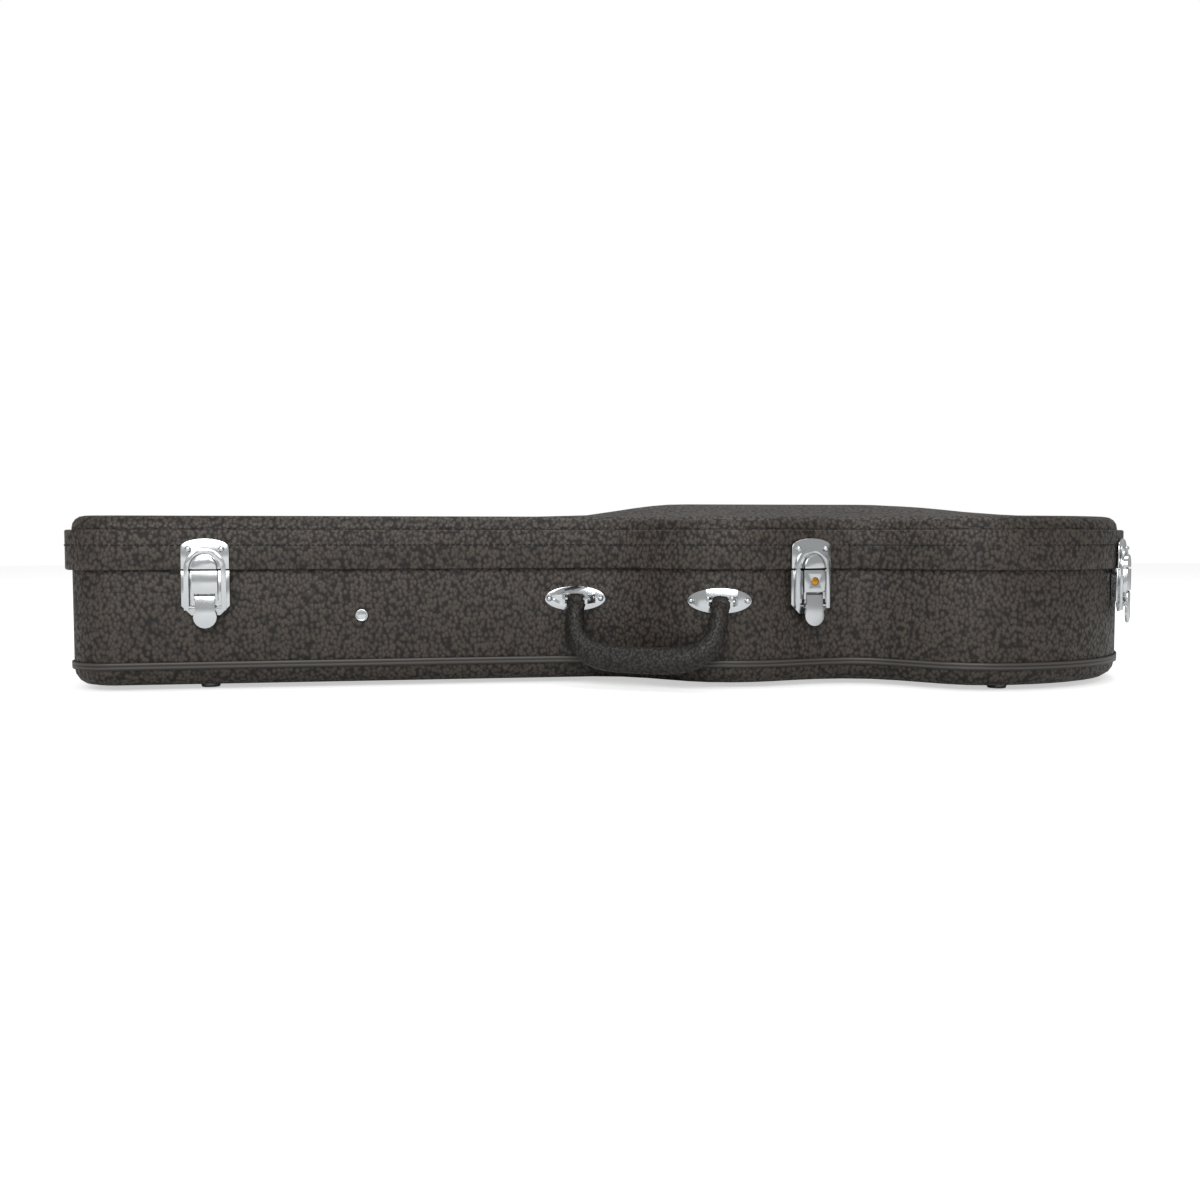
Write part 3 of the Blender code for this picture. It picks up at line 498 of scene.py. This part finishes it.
class CASE_OT_handle(bpy.types.Operator):
    """Wrap the handle in leatherette"""

    bl_idname = "case.handle"
    bl_label = "Handle"

    def execute(self, context):
        grip = copy_node("handle_grip", "wrapped_grip")
        fine = grip.modifiers.new("fine", "SUBSURF")
        fine.levels = 1
        fine.render_levels = 1
        bpy.ops.object.modifier_apply(modifier="fine")
        finish_piece(grip, "wrap", "handle", 45)
        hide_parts("handle_grip")
        return {"FINISHED"}


class CASE_OT_lining(bpy.types.Operator):
    """Lay the plush lining over its foam and boards"""

    bl_idname = "case.lining"
    bl_label = "Lining"

    def execute(self, context):
        for name in LINING:
            piece = copy_node(name, name + "_plush")
            round_edges(piece, BOX_ROUND if "box" in name else PAD_ROUND, 3)
            finish_piece(piece, "plush", body_of_node(name), 50)
            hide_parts(name)
        return {"FINISHED"}


def softbox(name, place, aim, energy, width, height):
    """A rectangular studio lamp aimed at a point."""
    light = bpy.data.lights.new(name, "AREA")
    light.energy = energy
    light.shape = "RECTANGLE"
    light.size = width
    light.size_y = height
    thing = bpy.data.objects.new(name, light)
    bpy.context.scene.collection.objects.link(thing)
    thing.location = place
    thing.rotation_euler = (Vector(aim) - Vector(place)).to_track_quat("-Z", "Y").to_euler()


def lay_floor():
    """A pale floor that glows to the camera alone, so that it reads as white and keeps the shadow."""
    deselect()
    bpy.ops.mesh.primitive_plane_add(size=FLOOR_SIZE, location=(0, 0, 0))
    floor = bpy.context.active_object
    floor.name = "pale_floor"
    made, tree, shader = material("pale_floor", linear("f4f4f4"), 0.9)
    camera_ray = node(tree, "ShaderNodeLightPath").outputs["Is Camera Ray"]
    glow = node(tree, "ShaderNodeEmission", {"Color": WHITE, "Strength": FLOOR_GLOW}).outputs["Emission"]
    paint = shader.outputs["BSDF"]
    bright = node(tree, "ShaderNodeAddShader", {}, {0: paint, 1: glow}).outputs["Shader"]
    seen = node(tree, "ShaderNodeMixShader", {}, {0: camera_ray, 1: paint, 2: bright})
    tree.links.new(seen.outputs["Shader"], tree.nodes["Material Output"].inputs["Surface"])
    floor.data.materials.append(made)


def light_world():
    """White to the camera and to transmitted light, and a soft overall light on the case."""
    scene = bpy.context.scene
    world = scene.world or bpy.data.worlds.new("studio")
    scene.world = world
    world.use_nodes = True
    tree = world.node_tree
    lit = tree.nodes["Background"]
    lit.inputs["Color"].default_value = WHITE
    lit.inputs["Strength"].default_value = SKY_LIGHT
    path = node(tree, "ShaderNodeLightPath")
    seen = node(tree, "ShaderNodeMath", {"operation": "MAXIMUM"},
                {0: path.outputs["Is Camera Ray"], 1: path.outputs["Is Transmission Ray"]}).outputs["Value"]
    white = node(tree, "ShaderNodeBackground", {"Color": WHITE, "Strength": 1.0}).outputs["Background"]
    both = node(tree, "ShaderNodeMixShader", {}, {0: seen, 1: lit.outputs["Background"], 2: white})
    tree.links.new(both.outputs["Shader"], tree.nodes["World Output"].inputs["Surface"])


def place_camera():
    """The photograph's camera."""
    camera = bpy.data.cameras.new("product_camera")
    camera.sensor_width = SENSOR
    camera.lens = SENSOR * PHOTO_FOCAL / PHOTO_SIZE
    camera.clip_start = NEAREST
    eye = bpy.data.objects.new("product_camera", camera)
    bpy.context.scene.collection.objects.link(eye)
    eye.location = EYE
    tilt = atan((PHOTO_SIZE / 2 - PHOTO_HORIZON) / PHOTO_FOCAL)
    eye.rotation_euler = (pi / 2 - tilt, 0, -CASE_TURN)
    bpy.context.scene.camera = eye


class CASE_OT_stage(bpy.types.Operator):
    """Set the pale floor, the soft light and the camera"""

    bl_idname = "case.stage"
    bl_label = "Stage"

    def execute(self, context):
        lay_floor()
        light_world()
        softbox("front_softbox", (-0.35, -1.9, 1.1), (0, 0, 0.07), 26, 1.8, 1.0)
        softbox("top_softbox", (0.2, 0.2, 1.9), (0, 0, 0), 14, 1.6, 1.2)
        place_camera()
        context.scene.view_settings.view_transform = "Standard"
        return {"FINISHED"}


OPERATORS = (
    CASE_OT_shell,
    CASE_OT_stitching,
    CASE_OT_metalwork,
    CASE_OT_fasteners,
    CASE_OT_handle,
    CASE_OT_lining,
    CASE_OT_stage,
)


class CASE_PT_panel(bpy.types.Panel):
    """Lists the settings and the steps that build the case."""

    bl_label = "Ukulele case"
    bl_idname = "CASE_PT_panel"
    bl_space_type = "VIEW_3D"
    bl_region_type = "UI"
    bl_category = "Case"

    def draw(self, context):
        for name in CaseSettings.__annotations__:
            self.layout.prop(context.scene.case_settings, name)
        for kind in OPERATORS:
            self.layout.operator(kind.bl_idname)


def register():
    """Register the settings, the operators and the panel."""
    for kind in (CaseSettings, *OPERATORS, CASE_PT_panel):
        bpy.utils.register_class(kind)
    bpy.types.Scene.case_settings = bpy.props.PointerProperty(type=CaseSettings)


def unregister():
    """Undo register."""
    del bpy.types.Scene.case_settings
    for kind in (CASE_PT_panel, *reversed(OPERATORS), CaseSettings):
        bpy.utils.unregister_class(kind)


def main():
    """Build the whole look."""
    register()
    make_finishes(bpy.context.scene.case_settings)
    bpy.ops.case.shell()
    bpy.ops.case.stitching()
    bpy.ops.case.metalwork()
    bpy.ops.case.fasteners()
    bpy.ops.case.handle()
    bpy.ops.case.lining()
    bpy.ops.case.stage()


if __name__ == "__main__":
    main()
